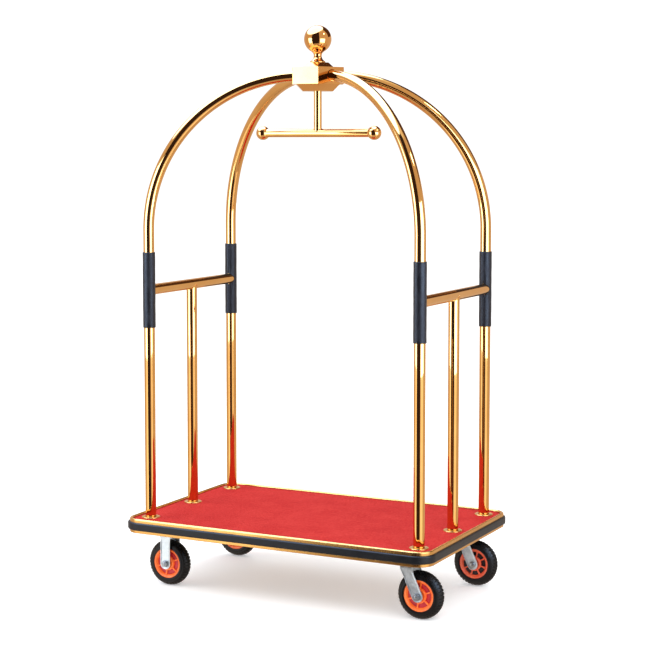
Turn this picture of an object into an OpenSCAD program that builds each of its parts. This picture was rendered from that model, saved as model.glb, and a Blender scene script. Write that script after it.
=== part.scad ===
// Birdcage luggage cart: a carpeted deck on four casters, with six posts, four arched
// corner tubes that meet in a crown block, a ball finial and a T shaped clothes hanger.
// Origin on the floor under the middle of the deck. X runs along the length, +Z is up.

/* [Overall] */
// Length over the bumper, along X
cart_length = 1100; // [1095:5:1500]
// Width over the bumper, along Y
cart_width = 693; // [685:1:900]
// Height from the floor to the top of the ball
cart_height = 1847; // [1790:1:2300]

/* [Tubes] */
// Outside diameter of the posts, arches and crossbars
tube_d = 36; // [30:0.5:44]
// Wall thickness of the tubes
tube_wall = 1.5; // [1:0.1:3]
// Distance from the end of the cart to the post axes
post_inset_x = 66; // [60:1:90]
// Distance from the side of the cart to the post axes
post_inset_y = 79; // [70:1:100]
// Bend radius of the arches, on the tube axis
arch_r = 500; // [380:1:500]
// Height of the crossbar axes above the floor
handle_z = 985.4; // [900:0.2:1050]
// Height of the joint between a lower post and its arch above the crossbar axis
joint_rise = 75; // [60:1:95]
// Length of the spigot inside that joint
spigot_length = 100; // [60:2:100]
// Wall thickness of the spigot
spigot_wall = 3; // [2:0.5:6]

/* [Grips] */
// Length of a hand grip
grip_length = 248; // [200:2:260]
// Wall thickness of a hand grip
grip_wall = 2.7; // [1.5:0.1:5]
// Width of the seam rib on a grip
grip_rib_w = 5; // [3:0.5:8]
// How far the seam rib stands out of the grip
grip_rib_h = 3; // [1:0.5:5]

/* [Deck] */
// Corner radius of the trim, at its outer face
trim_corner_r = 52; // [40:0.5:120]
// Sheet thickness of the trim
trim_t = 2.5; // [1.5:0.1:4]
// Diameter of the round bead along the top of the trim
bead_d = 11; // [9:0.5:18]
// Height of the bead above the carpet
bead_rise = 5.2; // [4:0.1:9]
// Width of the return along the bottom of the trim
trim_return = 10; // [6:1:20]
// How far the bumper stands out of the trim
bumper_t = 6.5; // [4:0.5:12]
// Height of the bumper
bumper_h = 26; // [18:1:30]
// Distance from the top of the carpet down to the middle of the bumper
bumper_drop = 19.7; // [18:0.1:22]
// Height of the key that holds the bumper in the trim
key_h = 12; // [8:1:16]
// Depth of the key
key_depth = 1; // [0.5:0.1:1.5]
// Thickness of the carpet
carpet_t = 6; // [3:0.5:10]
// Thickness of the deck board
board_t = 15; // [9:1:20]
// Height of the frame rails
rail_h = 20; // [18:1:24]
// Width of the frame rails
rail_w = 50; // [46:1:50]
// Wall thickness of the frame rails
rail_wall = 2; // [1.5:0.1:3]
// Diameter added to a tube by its base flange
flange_extra = 24.5; // [16:0.5:36]
// Height of a base flange above the carpet
flange_rise = 3.5; // [2:0.5:8]

/* [Crown] */
// Distance from the middle of the crown block to the faces that take the arches
crown_face = 83; // [80:1:100]
// Distance from the middle of the crown block to its two blank faces
crown_side = 88; // [80:1:100]
// Height of the crown block above the tube diameter
crown_cover = 18.6; // [12:0.2:30]
// Distance from the cart's axis to the inner end of an arch
arch_end = 49; // [44:1:50]
// Height of the cap on the crown block
cap_h = 15.8; // [10:0.2:25]
// Height of the hip under the crown block
hip_h = 22.6; // [15:0.2:40]
// Diameter of the ball
ball_d = 90; // [70:1:110]
// Wall thickness of the ball
ball_wall = 3; // [2:0.5:6]
// Height from the top of the cap to the middle of the ball
ball_rise = 76; // [74:1:90]
// Diameter of the foot of the finial neck
neck_foot_d = 50; // [40:1:56]
// Diameter of the waist of the finial neck
neck_waist_d = 26; // [20:1:32]
// Diameter of the finial neck under the ball
neck_top_d = 36; // [34:1:40]
// Height of the waist above the cap
neck_waist_z = 22; // [18:1:24]
// Diameter of the tie rod
rod_d = 10; // [8:1:10]

/* [Hanger] */
// Distance from the arch axes at the crown down to the hanger bar's axis
hanger_drop = 185; // [150:0.5:400]
// Diameter of the hanger bar
hanger_d = 28; // [25:0.5:34]
// Distance between the middles of the hanger bar's end balls
hanger_span = 408; // [300:1:500]
// Diameter of the end balls
hanger_ball_d = 46; // [38:1:50]
// Diameter of the hanger stem
stem_d = 26; // [22:0.5:30]
// Wall thickness of the hanger bar and stem
hanger_wall = 2; // [1.5:0.1:3]

/* [Casters] */
// Diameter of the wheels
wheel_d = 152; // [120:1:190]
// Width of the tyres
tyre_w = 45; // [36:1:50]
// Outside diameter of the rims
rim_d = 101; // [90:1:108]
// Diameter of the axle bolts
axle_d = 12; // [8:1:14]
// Sideways gap between a tyre and a fork leg
leg_clear = 6; // [4:0.5:10]
// Sheet thickness of the forks
fork_t = 3.5; // [2.5:0.1:5]
// Width of a fork leg at the axle
leg_w = 36; // [30:1:40]
// Distance from a swivel axis back to its wheel's axle
trail = 38; // [25:1:45]
// Distance from a post axis inwards to a caster, along X
caster_inset_x = 48; // [48:1:60]
// Distance from a post axis inwards to a caster, along Y
caster_inset_y = 41.5; // [40:0.5:60]

/* [Hidden] */
$fn = 96;

// Clearances
slide_gap = 0.1;     // radial, round a bolt, spigot or tube in its hole
run_gap = 0.1;       // radial, between an axle or kingpin and what turns on it
cope_gap = 0.05;     // between a tube's shaped end and the face that it meets
lay_gap = 0.3;       // round the carpet and the board
turn_gap = 0.3;      // along the axis, between a fixed piece and one that turns
cut_over = 1;        // how far a cut runs past the face that it opens

// Colours
gold = [0.80, 0.66, 0.40];
zinc = [0.72, 0.76, 0.78];
steel = [0.55, 0.56, 0.58];
orange = [0.93, 0.42, 0.20];

// Where things are
tube_r = tube_d / 2;
post_x = cart_length / 2 - post_inset_x;
post_y = cart_width / 2 - post_inset_y;
half_diagonal = norm([post_x, post_y]);
wheel_r = wheel_d / 2;
axle_z = wheel_r;
CORNERS = [[-1, -1], [1, -1], [-1, 1], [1, 1]];
POSTS = concat(CORNERS, [[-1, 0], [1, 0]]);

// Caster stack, from the wheel up to the frame
plate_t = 4;
nut_clear = 6;                       // between a wheel's top and the kingpin nut
crown_gap = 14;                      // between a wheel's top and the swivel fork's crown
bearing_h = 8;                       // room for the balls
race_h = 8;                          // thickness of the boss under the top plate
swivel_crown_z = wheel_d + crown_gap;
race_z = swivel_crown_z + plate_t + bearing_h;
plate_z = race_z + race_h;
frame_z = plate_z + plate_t;
caster_x = post_x - caster_inset_x;
caster_y = post_y - caster_inset_y;
plate_x = 100;
plate_y = 84;
plate_bolt_x = 72;
plate_bolt_y = 56;
leg_in = tyre_w / 2 + leg_clear;
leg_out = leg_in + fork_t;
fork_top_w = 41;

// Deck stack, from the frame up to the carpet
board_z = frame_z + rail_h;
board_top = board_z + board_t;
deck_top = board_top + carpet_t;
trim_bottom = frame_z - 1;
trim_top = deck_top + bead_rise;
trim_x = cart_length - 2 * bumper_t;
trim_y = cart_width - 2 * bumper_t;
bead_r = bead_d / 2;
bumper_round = min(5, bumper_t - 0.5);
inner_rail_x = caster_x - plate_bolt_x / 2;
flange_r = (tube_d + flange_extra) / 2;

// Posts and arches
joint_z = handle_z + joint_rise;
crown_h = tube_d + crown_cover;
crown_z = cart_height - ball_d / 2 - ball_rise - cap_h - crown_h / 2;
arc_z = crown_z - arch_r;
level_x = half_diagonal - arch_r;

// Crown, finial and hanger
crown_top = crown_z + crown_h / 2;
crown_bottom = crown_z - crown_h / 2;
cap_top = crown_top + cap_h;
hip_bottom = crown_bottom - hip_h;
ball_z = cap_top + ball_rise;
ball_r = ball_d / 2;
hanger_z = crown_z - hanger_drop;
rod_r = rod_d / 2;
stem_bore_r = stem_d / 2 - hanger_wall;
hip_spigot_h = 8;
cap_scale = 0.616;
cap_taper = 0.667;
hip_scale = 0.853;
hip_taper = 0.691;
rod_top = ball_z - 12;
lock_screw_r = 3;
lock_screw_x = crown_face - 6;

// Fasteners
post_bolt_r = 5;
post_bolt_head_r = 9;
post_bolt_head_h = 6;
plug_h = 40;
caster_bolt_r = 4;
caster_nut_r = 7.5;
caster_nut_h = 6.5;
caster_head_h = 5.5;
kingpin_r = 6;
kingpin_head_r = 9.5;
kingpin_head_h = 7;
kingpin_nut_r = 10.4;

// A rectangle with round corners
module rounded_rect(x, y, r) {
    square([x, y - 2 * r], center = true);
    square([x - 2 * r, y], center = true);
    for (s = CORNERS) translate([s[0] * (x / 2 - r), s[1] * (y / 2 - r)]) circle(r = r);
}

// Sweeps a profile round the edge of a rounded rectangle. The profile's x is measured
// outwards from the rectangle's edge and its y is the height.
module edge_sweep(x, y, r) {
    turns = [[1, 1], [-1, 1], [-1, -1], [1, -1]];
    for (q = [0:3]) {
        along = q % 2 == 0 ? y : x;
        across = q % 2 == 0 ? x : y;
        rotate(90 * q) translate([across / 2, 0, 0]) rotate([90, 0, 0])
            linear_extrude(along - 2 * r, center = true) children();
        translate([turns[q][0] * (x / 2 - r), turns[q][1] * (y / 2 - r), 0]) rotate(90 * q)
            rotate_extrude(angle = 90) translate([r, 0]) children();
    }
}

module tube(r, wall, h) {
    difference() {
        cylinder(r = r, h = h);
        translate([0, 0, -cut_over]) cylinder(r = r - wall, h = h + 2 * cut_over);
    }
}

module ring(r_out, r_in, h) {
    tube(r_out, r_out - r_in, h);
}

module hexagon(r, h) {
    cylinder(r = r, h = h, $fn = 6);
}

// Frame of rectangular tubes; inset shrinks every rail on all sides
module rails(inset) {
    long = 2 * post_x + rail_w - 2 * inset;
    wide = 2 * post_y + rail_w - 2 * inset;
    for (s = [-1, 1]) translate([0, s * post_y, frame_z + rail_h / 2])
        cube([long, rail_w - 2 * inset, rail_h - 2 * inset], center = true);
    for (x = [-post_x, -inner_rail_x, 0, inner_rail_x, post_x]) translate([x, 0, frame_z + rail_h / 2])
        cube([rail_w - 2 * inset, wide, rail_h - 2 * inset], center = true);
}

// Puts a piece at each of the bolt holes in the four caster plates
module at_caster_bolts() {
    for (c = CORNERS, b = CORNERS)
        translate([c[0] * caster_x + b[0] * plate_bolt_x / 2, c[1] * caster_y + b[1] * plate_bolt_y / 2, 0])
            children();
}

module at_posts() {
    for (s = POSTS) translate([s[0] * post_x, s[1] * post_y, 0]) children();
}

// Welded frame, with a nut inside it over each caster bolt
module base_frame() {
    color(steel) difference() {
        union() {
            difference() {
                rails(0);
                rails(rail_wall);
            }
            translate([0, 0, frame_z + rail_wall]) at_caster_bolts() hexagon(caster_nut_r, caster_nut_h);
        }
        translate([0, 0, frame_z - cut_over]) at_caster_bolts()
            cylinder(r = caster_bolt_r + slide_gap, h = rail_h / 2);
        translate([0, 0, frame_z - cut_over]) at_posts()
            cylinder(r = post_bolt_head_r + 0.5, h = rail_h / 2);
        translate([0, 0, frame_z + rail_h / 2]) at_posts()
            cylinder(r = post_bolt_r + slide_gap, h = rail_h);
    }
}

module deck_board() {
    color("burlywood") translate([0, 0, board_z]) difference() {
        linear_extrude(board_t) rounded_rect(trim_x - 2 * (trim_t + lay_gap),
            trim_y - 2 * (trim_t + lay_gap), trim_corner_r - trim_t - lay_gap);
        translate([0, 0, -cut_over]) at_posts()
            cylinder(r = post_bolt_r + slide_gap, h = board_t + 2 * cut_over);
    }
}

module carpet() {
    edge = bead_d + lay_gap;
    color([0.80, 0.13, 0.12]) translate([0, 0, board_top]) difference() {
        linear_extrude(carpet_t) rounded_rect(trim_x - 2 * edge, trim_y - 2 * edge, trim_corner_r - edge);
        translate([0, 0, -cut_over]) at_posts()
            cylinder(r = flange_r + lay_gap, h = carpet_t + 2 * cut_over);
    }
}

// Trim: a skirt with a bead along the top, a return along the bottom and a groove
// for the bumper's key
module edge_trim() {
    color(gold) edge_sweep(trim_x, trim_y, trim_corner_r) difference() {
        union() {
            translate([-bead_r, trim_top - bead_r]) circle(r = bead_r);
            translate([-trim_t, trim_bottom]) square([trim_t, trim_top - bead_r - trim_bottom]);
            translate([-trim_return, trim_bottom]) square([trim_return, trim_t]);
        }
        translate([-key_depth, deck_top - bumper_drop - key_h / 2]) square([key_depth + cut_over, key_h]);
    }
}

module bumper() {
    mid = deck_top - bumper_drop;
    color([0.06, 0.06, 0.065]) edge_sweep(trim_x, trim_y, trim_corner_r) {
        translate([cope_gap, mid - bumper_h / 2]) square([bumper_t - bumper_round - cope_gap, bumper_h]);
        translate([cope_gap, mid - bumper_h / 2 + bumper_round])
            square([bumper_t - cope_gap, bumper_h - 2 * bumper_round]);
        for (s = [-1, 1]) intersection() {
            translate([bumper_t - bumper_round, mid + s * (bumper_h / 2 - bumper_round)]) circle(r = bumper_round);
            translate([cope_gap, mid - bumper_h / 2]) square([bumper_t, bumper_h]);
        }
        translate([cope_gap - key_depth, mid - key_h / 2 + cope_gap])
            square([key_depth + bumper_t / 2, key_h - 2 * cope_gap]);
    }
}

module lower_post(s) {
    color(gold) translate([s[0] * post_x, s[1] * post_y, board_top]) tube(tube_r, tube_wall, joint_z - board_top);
}

// Its top is shaped to the underside of the crossbar
module mid_post(side) {
    color(gold) difference() {
        translate([side * post_x, 0, board_top]) tube(tube_r, tube_wall, handle_z - board_top);
        crossbar_hole(side, tube_r + cope_gap);
    }
}

module crossbar_hole(side, r) {
    translate([side * post_x, 0, handle_z]) rotate([90, 0, 0]) cylinder(r = r, h = 2 * post_y, center = true);
}

// Both ends are shaped to the corner posts
module crossbar(side) {
    color(gold) difference() {
        crossbar_hole(side, tube_r);
        translate([side * post_x, 0, handle_z]) rotate([90, 0, 0])
            cylinder(r = tube_r - tube_wall, h = 2 * post_y + 2 * cut_over, center = true);
        for (s = [-1, 1]) translate([side * post_x, s * post_y, handle_z - tube_d])
            cylinder(r = tube_r + cope_gap, h = 2 * tube_d);
    }
}

module post_flanges() {
    h = carpet_t + flange_rise;
    bevel = flange_rise / 2;
    color(gold) translate([0, 0, board_top]) at_posts() rotate_extrude() translate([tube_r + slide_gap, 0])
        polygon([[0, 0], [flange_r - tube_r, 0], [flange_r - tube_r, h - bevel],
            [flange_r - tube_r - bevel, h], [0, h]]);
}

// Bolts that hold the posts down, with their heads inside the frame rails
module post_bolts() {
    head_z = board_z - rail_wall;
    color(zinc) at_posts() {
        translate([0, 0, head_z - post_bolt_head_h]) hexagon(post_bolt_head_r, post_bolt_head_h);
        translate([0, 0, head_z - post_bolt_head_h / 2]) cylinder(r = post_bolt_r, h = board_top + plug_h - head_z);
    }
}

// Threaded plugs in the feet of the posts
module post_plugs() {
    color(steel) translate([0, 0, board_top]) at_posts() difference() {
        cylinder(r = tube_r - tube_wall - slide_gap, h = plug_h);
        translate([0, 0, -cut_over]) cylinder(r = post_bolt_r + cope_gap, h = plug_h + 2 * cut_over);
    }
}

// Turns a piece drawn in the XZ plane into the plane of one corner's arch
module in_arch_plane(s) {
    rotate(atan2(s[1] * post_y, s[0] * post_x)) children();
}

// The round bar that an arch follows: up from the joint, round the bend and level
// into the crown. Both ends run on by over.
module arch_bar(r, over) {
    translate([half_diagonal, 0, joint_z - over]) cylinder(r = r, h = arc_z - joint_z + over);
    translate([level_x, 0, arc_z]) rotate([90, 0, 0]) rotate_extrude(angle = 90, $fn = 192)
        translate([arch_r, 0]) circle(r = r, $fn = 96);
    translate([arch_end - over, 0, crown_z]) rotate([0, 90, 0]) cylinder(r = r, h = level_x - arch_end + over);
}

module arch(s) {
    color(gold) in_arch_plane(s) difference() {
        arch_bar(tube_r, 0);
        arch_bar(tube_r - tube_wall, cut_over);
    }
}

module arch_spigots() {
    color(steel) for (s = CORNERS)
        translate([s[0] * post_x, s[1] * post_y, joint_z - spigot_length / 2])
            tube(tube_r - tube_wall - slide_gap, spigot_wall, spigot_length);
}

// Sleeve with a seam rib on the side that faces the crossbar
module grip(s) {
    outer_r = tube_r + grip_wall;
    bar_cut = tube_r + 2 * lay_gap;
    color([0.17, 0.17, 0.20]) translate([s[0] * post_x, s[1] * post_y, handle_z - grip_length / 2])
        rotate(s[1] > 0 ? -90 : 90) difference() {
            union() {
                cylinder(r = outer_r, h = grip_length);
                translate([0, -grip_rib_w / 2, 0]) cube([outer_r + grip_rib_h, grip_rib_w, grip_length]);
            }
            translate([0, 0, -cut_over]) cylinder(r = tube_r + slide_gap, h = grip_length + 2 * cut_over);
            translate([0, 0, grip_length / 2]) rotate([0, 90, 0]) cylinder(r = bar_cut, h = 2 * outer_r);
        }
}

// Six sided outline of the crown: four faces square to the arches, two blank faces
module crown_outline(size) {
    turn = atan2(post_y, post_x);
    tip = crown_face / cos(turn);
    shoulder = (crown_face - crown_side * sin(turn)) / cos(turn);
    scale(size) polygon([[tip, 0], [shoulder, crown_side], [-shoulder, crown_side],
        [-tip, 0], [-shoulder, -crown_side], [shoulder, -crown_side]]);
}

module rod_hole(z, h) {
    translate([0, 0, z - cut_over]) cylinder(r = rod_r + slide_gap, h = h + 2 * cut_over);
}

module crown_block() {
    color(gold) difference() {
        translate([0, 0, crown_bottom]) linear_extrude(crown_h) crown_outline(1);
        for (s = CORNERS) in_arch_plane(s) {
            arch_bar(tube_r + slide_gap, cut_over);
            translate([lock_screw_x, 0, crown_bottom - cut_over])
                cylinder(r = lock_screw_r + slide_gap, h = crown_cover);
        }
        rod_hole(crown_bottom, crown_h);
    }
}

// Screws in the underside of the crown block that lock the arches
module crown_screws() {
    rise = arch_r - sqrt(pow(arch_r, 2) - pow(max(lock_screw_x + lock_screw_r - level_x, 0), 2));
    top = crown_z - rise - tube_r - cope_gap;
    color(steel) for (s = CORNERS) in_arch_plane(s) translate([lock_screw_x, 0, crown_bottom]) difference() {
        cylinder(r = lock_screw_r, h = top - crown_bottom);
        translate([0, 0, -cut_over]) hexagon(lock_screw_r / 2, cut_over + lock_screw_r);
    }
}

module crown_cap() {
    color(gold) difference() {
        translate([0, 0, crown_top]) linear_extrude(cap_h, scale = cap_taper) crown_outline(cap_scale);
        rod_hole(crown_top, cap_h);
    }
}

// Tapered block under the crown, with a spigot that centres the hanger stem
module crown_hip() {
    color(gold) difference() {
        union() {
            translate([0, 0, crown_bottom]) mirror([0, 0, 1])
                linear_extrude(hip_h, scale = hip_taper) crown_outline(hip_scale);
            translate([0, 0, hip_bottom - hip_spigot_h])
                cylinder(r = stem_bore_r - slide_gap, h = hip_spigot_h + hip_h / 2);
        }
        rod_hole(hip_bottom - hip_spigot_h, hip_h + hip_spigot_h);
    }
}

// Waisted neck; its top is hollowed to the ball
module finial_neck() {
    waist_r = neck_waist_d / 2;
    top_r = neck_top_d / 2;
    top = ball_rise - sqrt(pow(ball_r, 2) - pow(top_r, 2));
    flare = top_r - waist_r;
    hollow_r = (pow(flare, 2) + pow(top - neck_waist_z, 2)) / (2 * flare);
    color(gold) translate([0, 0, cap_top]) difference() {
        rotate_extrude() difference() {
            square([neck_foot_d / 2, top]);
            translate([waist_r + hollow_r, neck_waist_z]) circle(r = hollow_r);
        }
        translate([0, 0, ball_rise]) sphere(r = ball_r + cope_gap);
        rod_hole(0, top);
    }
}

// Hollow ball with a threaded boss for the tie rod
module finial_ball() {
    boss_r = rod_r + 6;
    boss_top = rod_top + 4 - ball_z;
    color(gold) translate([0, 0, ball_z]) rotate_extrude() difference() {
        intersection() {
            union() {
                difference() {
                    circle(r = ball_r);
                    circle(r = ball_r - ball_wall);
                }
                translate([0, -ball_r + ball_wall / 2]) square([boss_r, boss_top + ball_r - ball_wall / 2]);
            }
            translate([0, -ball_r]) square([ball_r, ball_d]);
        }
        translate([0, -ball_r - cut_over]) square([rod_r + cope_gap, rod_top + 1 - ball_z + ball_r + cut_over]);
    }
}

// Rod from the hanger bar up to the ball, with its nut inside the bar
module tie_rod() {
    nut_r = hanger_d * 0.35;
    nut_h = hanger_d * 0.28;
    rod_bottom = hanger_z - nut_h / 2;
    color(zinc) {
        translate([0, 0, rod_bottom]) cylinder(r = rod_r, h = rod_top - rod_bottom);
        translate([0, 0, rod_bottom]) difference() {
            hexagon(nut_r, nut_h);
            translate([0, 0, -cut_over]) cylinder(r = rod_r + cope_gap, h = nut_h + 2 * cut_over);
        }
    }
}

// Its lower end is shaped to the hanger bar
module hanger_stem() {
    color(gold) difference() {
        translate([0, 0, hanger_z]) tube(stem_d / 2, hanger_wall, hip_bottom - hanger_z);
        translate([0, 0, hanger_z]) rotate([0, 90, 0])
            cylinder(r = hanger_d / 2 + cope_gap, h = 2 * stem_d, center = true);
    }
}

module hanger_bar() {
    color(gold) difference() {
        translate([-hanger_span / 2, 0, hanger_z]) rotate([0, 90, 0])
            tube(hanger_d / 2, hanger_wall, hanger_span);
        for (s = [-1, 1]) translate([s * hanger_span / 2, 0, hanger_z])
            sphere(r = hanger_ball_d / 2 + cope_gap);
        translate([0, 0, hanger_z]) cylinder(r = rod_r + slide_gap, h = hanger_d);
    }
}

// End balls, each with a spigot in the bar
module hanger_bar_balls() {
    color(gold) for (s = [-1, 1]) translate([s * hanger_span / 2, 0, hanger_z]) {
        sphere(r = hanger_ball_d / 2);
        rotate([0, -90 * s, 0])
            cylinder(r = hanger_d / 2 - hanger_wall - slide_gap, h = hanger_ball_d * 0.85);
    }
}

// Top plate of a caster, with slots left as plain holes for its four bolts
module top_plate() {
    difference() {
        translate([0, 0, plate_z]) linear_extrude(plate_t) rounded_rect(plate_x, plate_y, 10);
        for (b = CORNERS) translate([b[0] * plate_bolt_x / 2, b[1] * plate_bolt_y / 2, plate_z - cut_over])
            cylinder(r = caster_bolt_r + slide_gap, h = plate_t + 2 * cut_over);
    }
}

// Two legs that run from top down to an axle that is set back by lean
module fork_legs(top, lean) {
    fall = [lean, axle_z - top];
    across = leg_w / 2 * [-fall[1], fall[0]] / norm(fall);
    axle = [lean, axle_z];
    for (s = [-1, 1]) translate([0, s * (leg_in + fork_t / 2), 0]) rotate([90, 0, 0])
        linear_extrude(fork_t, center = true) {
            polygon([[-fork_top_w / 2, top], [fork_top_w / 2, top], axle + across, axle - across]);
            translate(axle) circle(r = leg_w / 2);
        }
}

module axle_hole(lean, r) {
    translate([lean, 0, axle_z]) rotate([90, 0, 0]) cylinder(r = r, h = 4 * leg_out, center = true);
}

// Rigid caster bracket
module fixed_fork(s) {
    color(zinc) translate([s[0] * caster_x, s[1] * caster_y, 0]) {
        top_plate();
        difference() {
            union() {
                translate([-fork_top_w / 2, -leg_out, plate_z - fork_t]) cube([fork_top_w, 2 * leg_out, fork_t]);
                fork_legs(plate_z, 0);
            }
            axle_hole(0, axle_d / 2 + slide_gap);
        }
    }
}

// Top plate of a swivel caster, with its upper race and dust skirt
module swivel_plate(s) {
    color(zinc) translate([s[0] * caster_x, s[1] * caster_y, 0]) difference() {
        union() {
            top_plate();
            translate([0, 0, race_z]) cylinder(r = 32, h = race_h);
            translate([0, 0, race_z - bearing_h + 2]) ring(32, 29.5, bearing_h);
        }
        translate([0, 0, race_z - cut_over]) cylinder(r = kingpin_r + slide_gap, h = race_h + plate_t + 2 * cut_over);
    }
}

module swivel_fork(s) {
    boss_h = bearing_h - turn_gap;
    color(zinc) translate([s[0] * caster_x, s[1] * caster_y, 0]) difference() {
        union() {
            translate([0, 0, swivel_crown_z]) cylinder(r = leg_out - 1, h = plate_t);
            translate([-fork_top_w / 2, -leg_out, swivel_crown_z]) cube([fork_top_w, 2 * leg_out, plate_t]);
            translate([0, 0, swivel_crown_z + plate_t / 2]) cylinder(r = 16, h = plate_t / 2 + boss_h);
            fork_legs(swivel_crown_z + plate_t, trail);
        }
        translate([0, 0, swivel_crown_z - cut_over]) cylinder(r = kingpin_r + run_gap, h = plate_t + bearing_h + 2);
        axle_hole(trail, axle_d / 2 + slide_gap);
    }
}

// Bolt that each swivel fork turns on, with its nut under the fork's crown
module kingpins() {
    nut_z = wheel_d + nut_clear;
    color(steel) for (y = [-caster_y, caster_y]) translate([caster_x, y, 0]) {
        translate([0, 0, nut_z]) cylinder(r = kingpin_r, h = frame_z - nut_z);
        translate([0, 0, frame_z]) hexagon(kingpin_head_r, kingpin_head_h);
        translate([0, 0, nut_z]) hexagon(kingpin_nut_r, crown_gap - nut_clear - turn_gap);
    }
}

module swivel_bearings() {
    balls = 14;
    color(zinc) for (y = [-caster_y, caster_y], i = [0:balls - 1])
        translate([caster_x, y, race_z - bearing_h / 2]) rotate(i * 360 / balls) translate([23.5, 0, 0])
            sphere(r = bearing_h / 2 - turn_gap / 2, $fn = 24);
}

module caster_bolts() {
    color(zinc) at_caster_bolts() {
        translate([0, 0, plate_z - caster_head_h]) hexagon(caster_nut_r, caster_head_h);
        translate([0, 0, plate_z - caster_head_h / 2])
            cylinder(r = caster_bolt_r, h = caster_head_h / 2 + plate_t + rail_wall + caster_nut_h);
    }
}

// Moves a wheel piece, drawn round Z, to a corner's axle. Its +Z end faces outwards.
module at_wheel(s) {
    lean = s[0] > 0 ? trail : 0;
    translate([s[0] * caster_x + lean, s[1] * caster_y, axle_z]) rotate([-90 * s[1], 0, 0]) children();
}

// Axle bolt with its head on the inner side, and its nut on the outer side
module axle(s) {
    r = axle_d / 2;
    head_h = 5;
    nut_h = 8;
    color(zinc) at_wheel(s) {
        translate([0, 0, -leg_out - head_h]) cylinder(r1 = r * 1.35, r2 = r * 1.7, h = head_h);
        translate([0, 0, -leg_out - head_h / 2]) cylinder(r = r, h = 2 * leg_out + head_h / 2 + nut_h + 2);
        translate([0, 0, leg_out]) difference() {
            hexagon(r * 1.75, nut_h);
            translate([0, 0, -cut_over]) cylinder(r = r + cope_gap, h = nut_h + 2 * cut_over);
        }
    }
}

bush_r = axle_d / 2 + 5;

module hub_bush(s) {
    length = 2 * (leg_in - 5 * turn_gap);
    color([0.12, 0.12, 0.13]) at_wheel(s) translate([0, 0, -length / 2])
        ring(bush_r, axle_d / 2 + run_gap, length);
}

// Moulded rim: the left and front right rims have a closed web under their ribs, the
// back right one has open spokes
module rim(s) {
    open = s == [1, 1];
    hub_r = 27;
    lip_r = 42;
    arms = open ? 8 : 6;
    arm_t = open ? 8 : 5;
    hub_w = tyre_w - 2;
    lip_w = tyre_w - 5;
    arm_w = tyre_w - 13;
    color(orange) at_wheel(s) difference() {
        union() {
            translate([0, 0, -hub_w / 2]) cylinder(r = hub_r, h = hub_w);
            translate([0, 0, -lip_w / 2]) ring(rim_d / 2, lip_r, lip_w);
            if (!open) translate([0, 0, -3]) cylinder(r = lip_r + 2, h = 6);
            for (i = [0:arms - 1]) rotate(i * 360 / arms) translate([hub_r - 3, -arm_t / 2, -arm_w / 2])
                cube([lip_r - hub_r + 5, arm_t, arm_w]);
        }
        translate([0, 0, -tyre_w]) cylinder(r = bush_r + cope_gap, h = 2 * tyre_w);
        for (z = [-tyre_w, hub_w / 2 - 4]) translate([0, 0, z])
            cylinder(r = hub_r - 6, h = tyre_w - hub_w / 2 + 4);
    }
}

module tyre(s) {
    section_r = tyre_w / 2;
    color([0.10, 0.10, 0.11]) at_wheel(s) rotate_extrude() difference() {
        translate([wheel_r - section_r, 0]) circle(r = section_r);
        translate([0, -tyre_w]) square([rim_d / 2 + cope_gap, 2 * tyre_w]);
    }
}

front_left = [-1, -1];
front_right = [1, -1];
back_left = [-1, 1];
back_right = [1, 1];

base_frame();
deck_board();
carpet();
edge_trim();
bumper();
lower_post(front_left);  // post_front_left
lower_post(front_right);  // post_front_right
lower_post(back_left);  // post_back_left
lower_post(back_right);  // post_back_right
mid_post(-1);  // post_mid_left
mid_post(1);  // post_mid_right
post_flanges();
post_bolts();
post_plugs();
crossbar(-1);  // crossbar_left
crossbar(1);  // crossbar_right
arch(front_left);  // arch_front_left
arch(front_right);  // arch_front_right
arch(back_left);  // arch_back_left
arch(back_right);  // arch_back_right
arch_spigots();
grip(front_left);  // grip_front_left
grip(front_right);  // grip_front_right
grip(back_left);  // grip_back_left
grip(back_right);  // grip_back_right
crown_block();
crown_cap();
crown_hip();
crown_screws();
finial_neck();
finial_ball();
tie_rod();
hanger_stem();
hanger_bar();
hanger_bar_balls();
fixed_fork(front_left);  // fixed_fork_front_left
fixed_fork(back_left);  // fixed_fork_back_left
swivel_plate(front_right);  // swivel_plate_front_right
swivel_plate(back_right);  // swivel_plate_back_right
swivel_fork(front_right);  // swivel_fork_front_right
swivel_fork(back_right);  // swivel_fork_back_right
kingpins();
swivel_bearings();
caster_bolts();
axle(front_left);  // axle_front_left
axle(front_right);  // axle_front_right
axle(back_left);  // axle_back_left
axle(back_right);  // axle_back_right
hub_bush(front_left);  // hub_bush_front_left
hub_bush(front_right);  // hub_bush_front_right
hub_bush(back_left);  // hub_bush_back_left
hub_bush(back_right);  // hub_bush_back_right
rim(front_left);  // rim_front_left
rim(front_right);  // rim_front_right
rim(back_left);  // rim_back_left
rim(back_right);  // rim_back_right
tyre(front_left);  // tyre_front_left
tyre(front_right);  // tyre_front_right
tyre(back_left);  // tyre_back_left
tyre(back_right);  // tyre_back_right
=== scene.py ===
"""Looks of a hotel luggage cart: polished gold tubes, red carpet, black bumper and orange wheels."""
from math import acos, asin, atan2, copysign, cos, degrees, exp, hypot, pi, radians, sin, sqrt

import bmesh
import bpy
import numpy as np
from mathutils import Matrix, Vector


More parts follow.
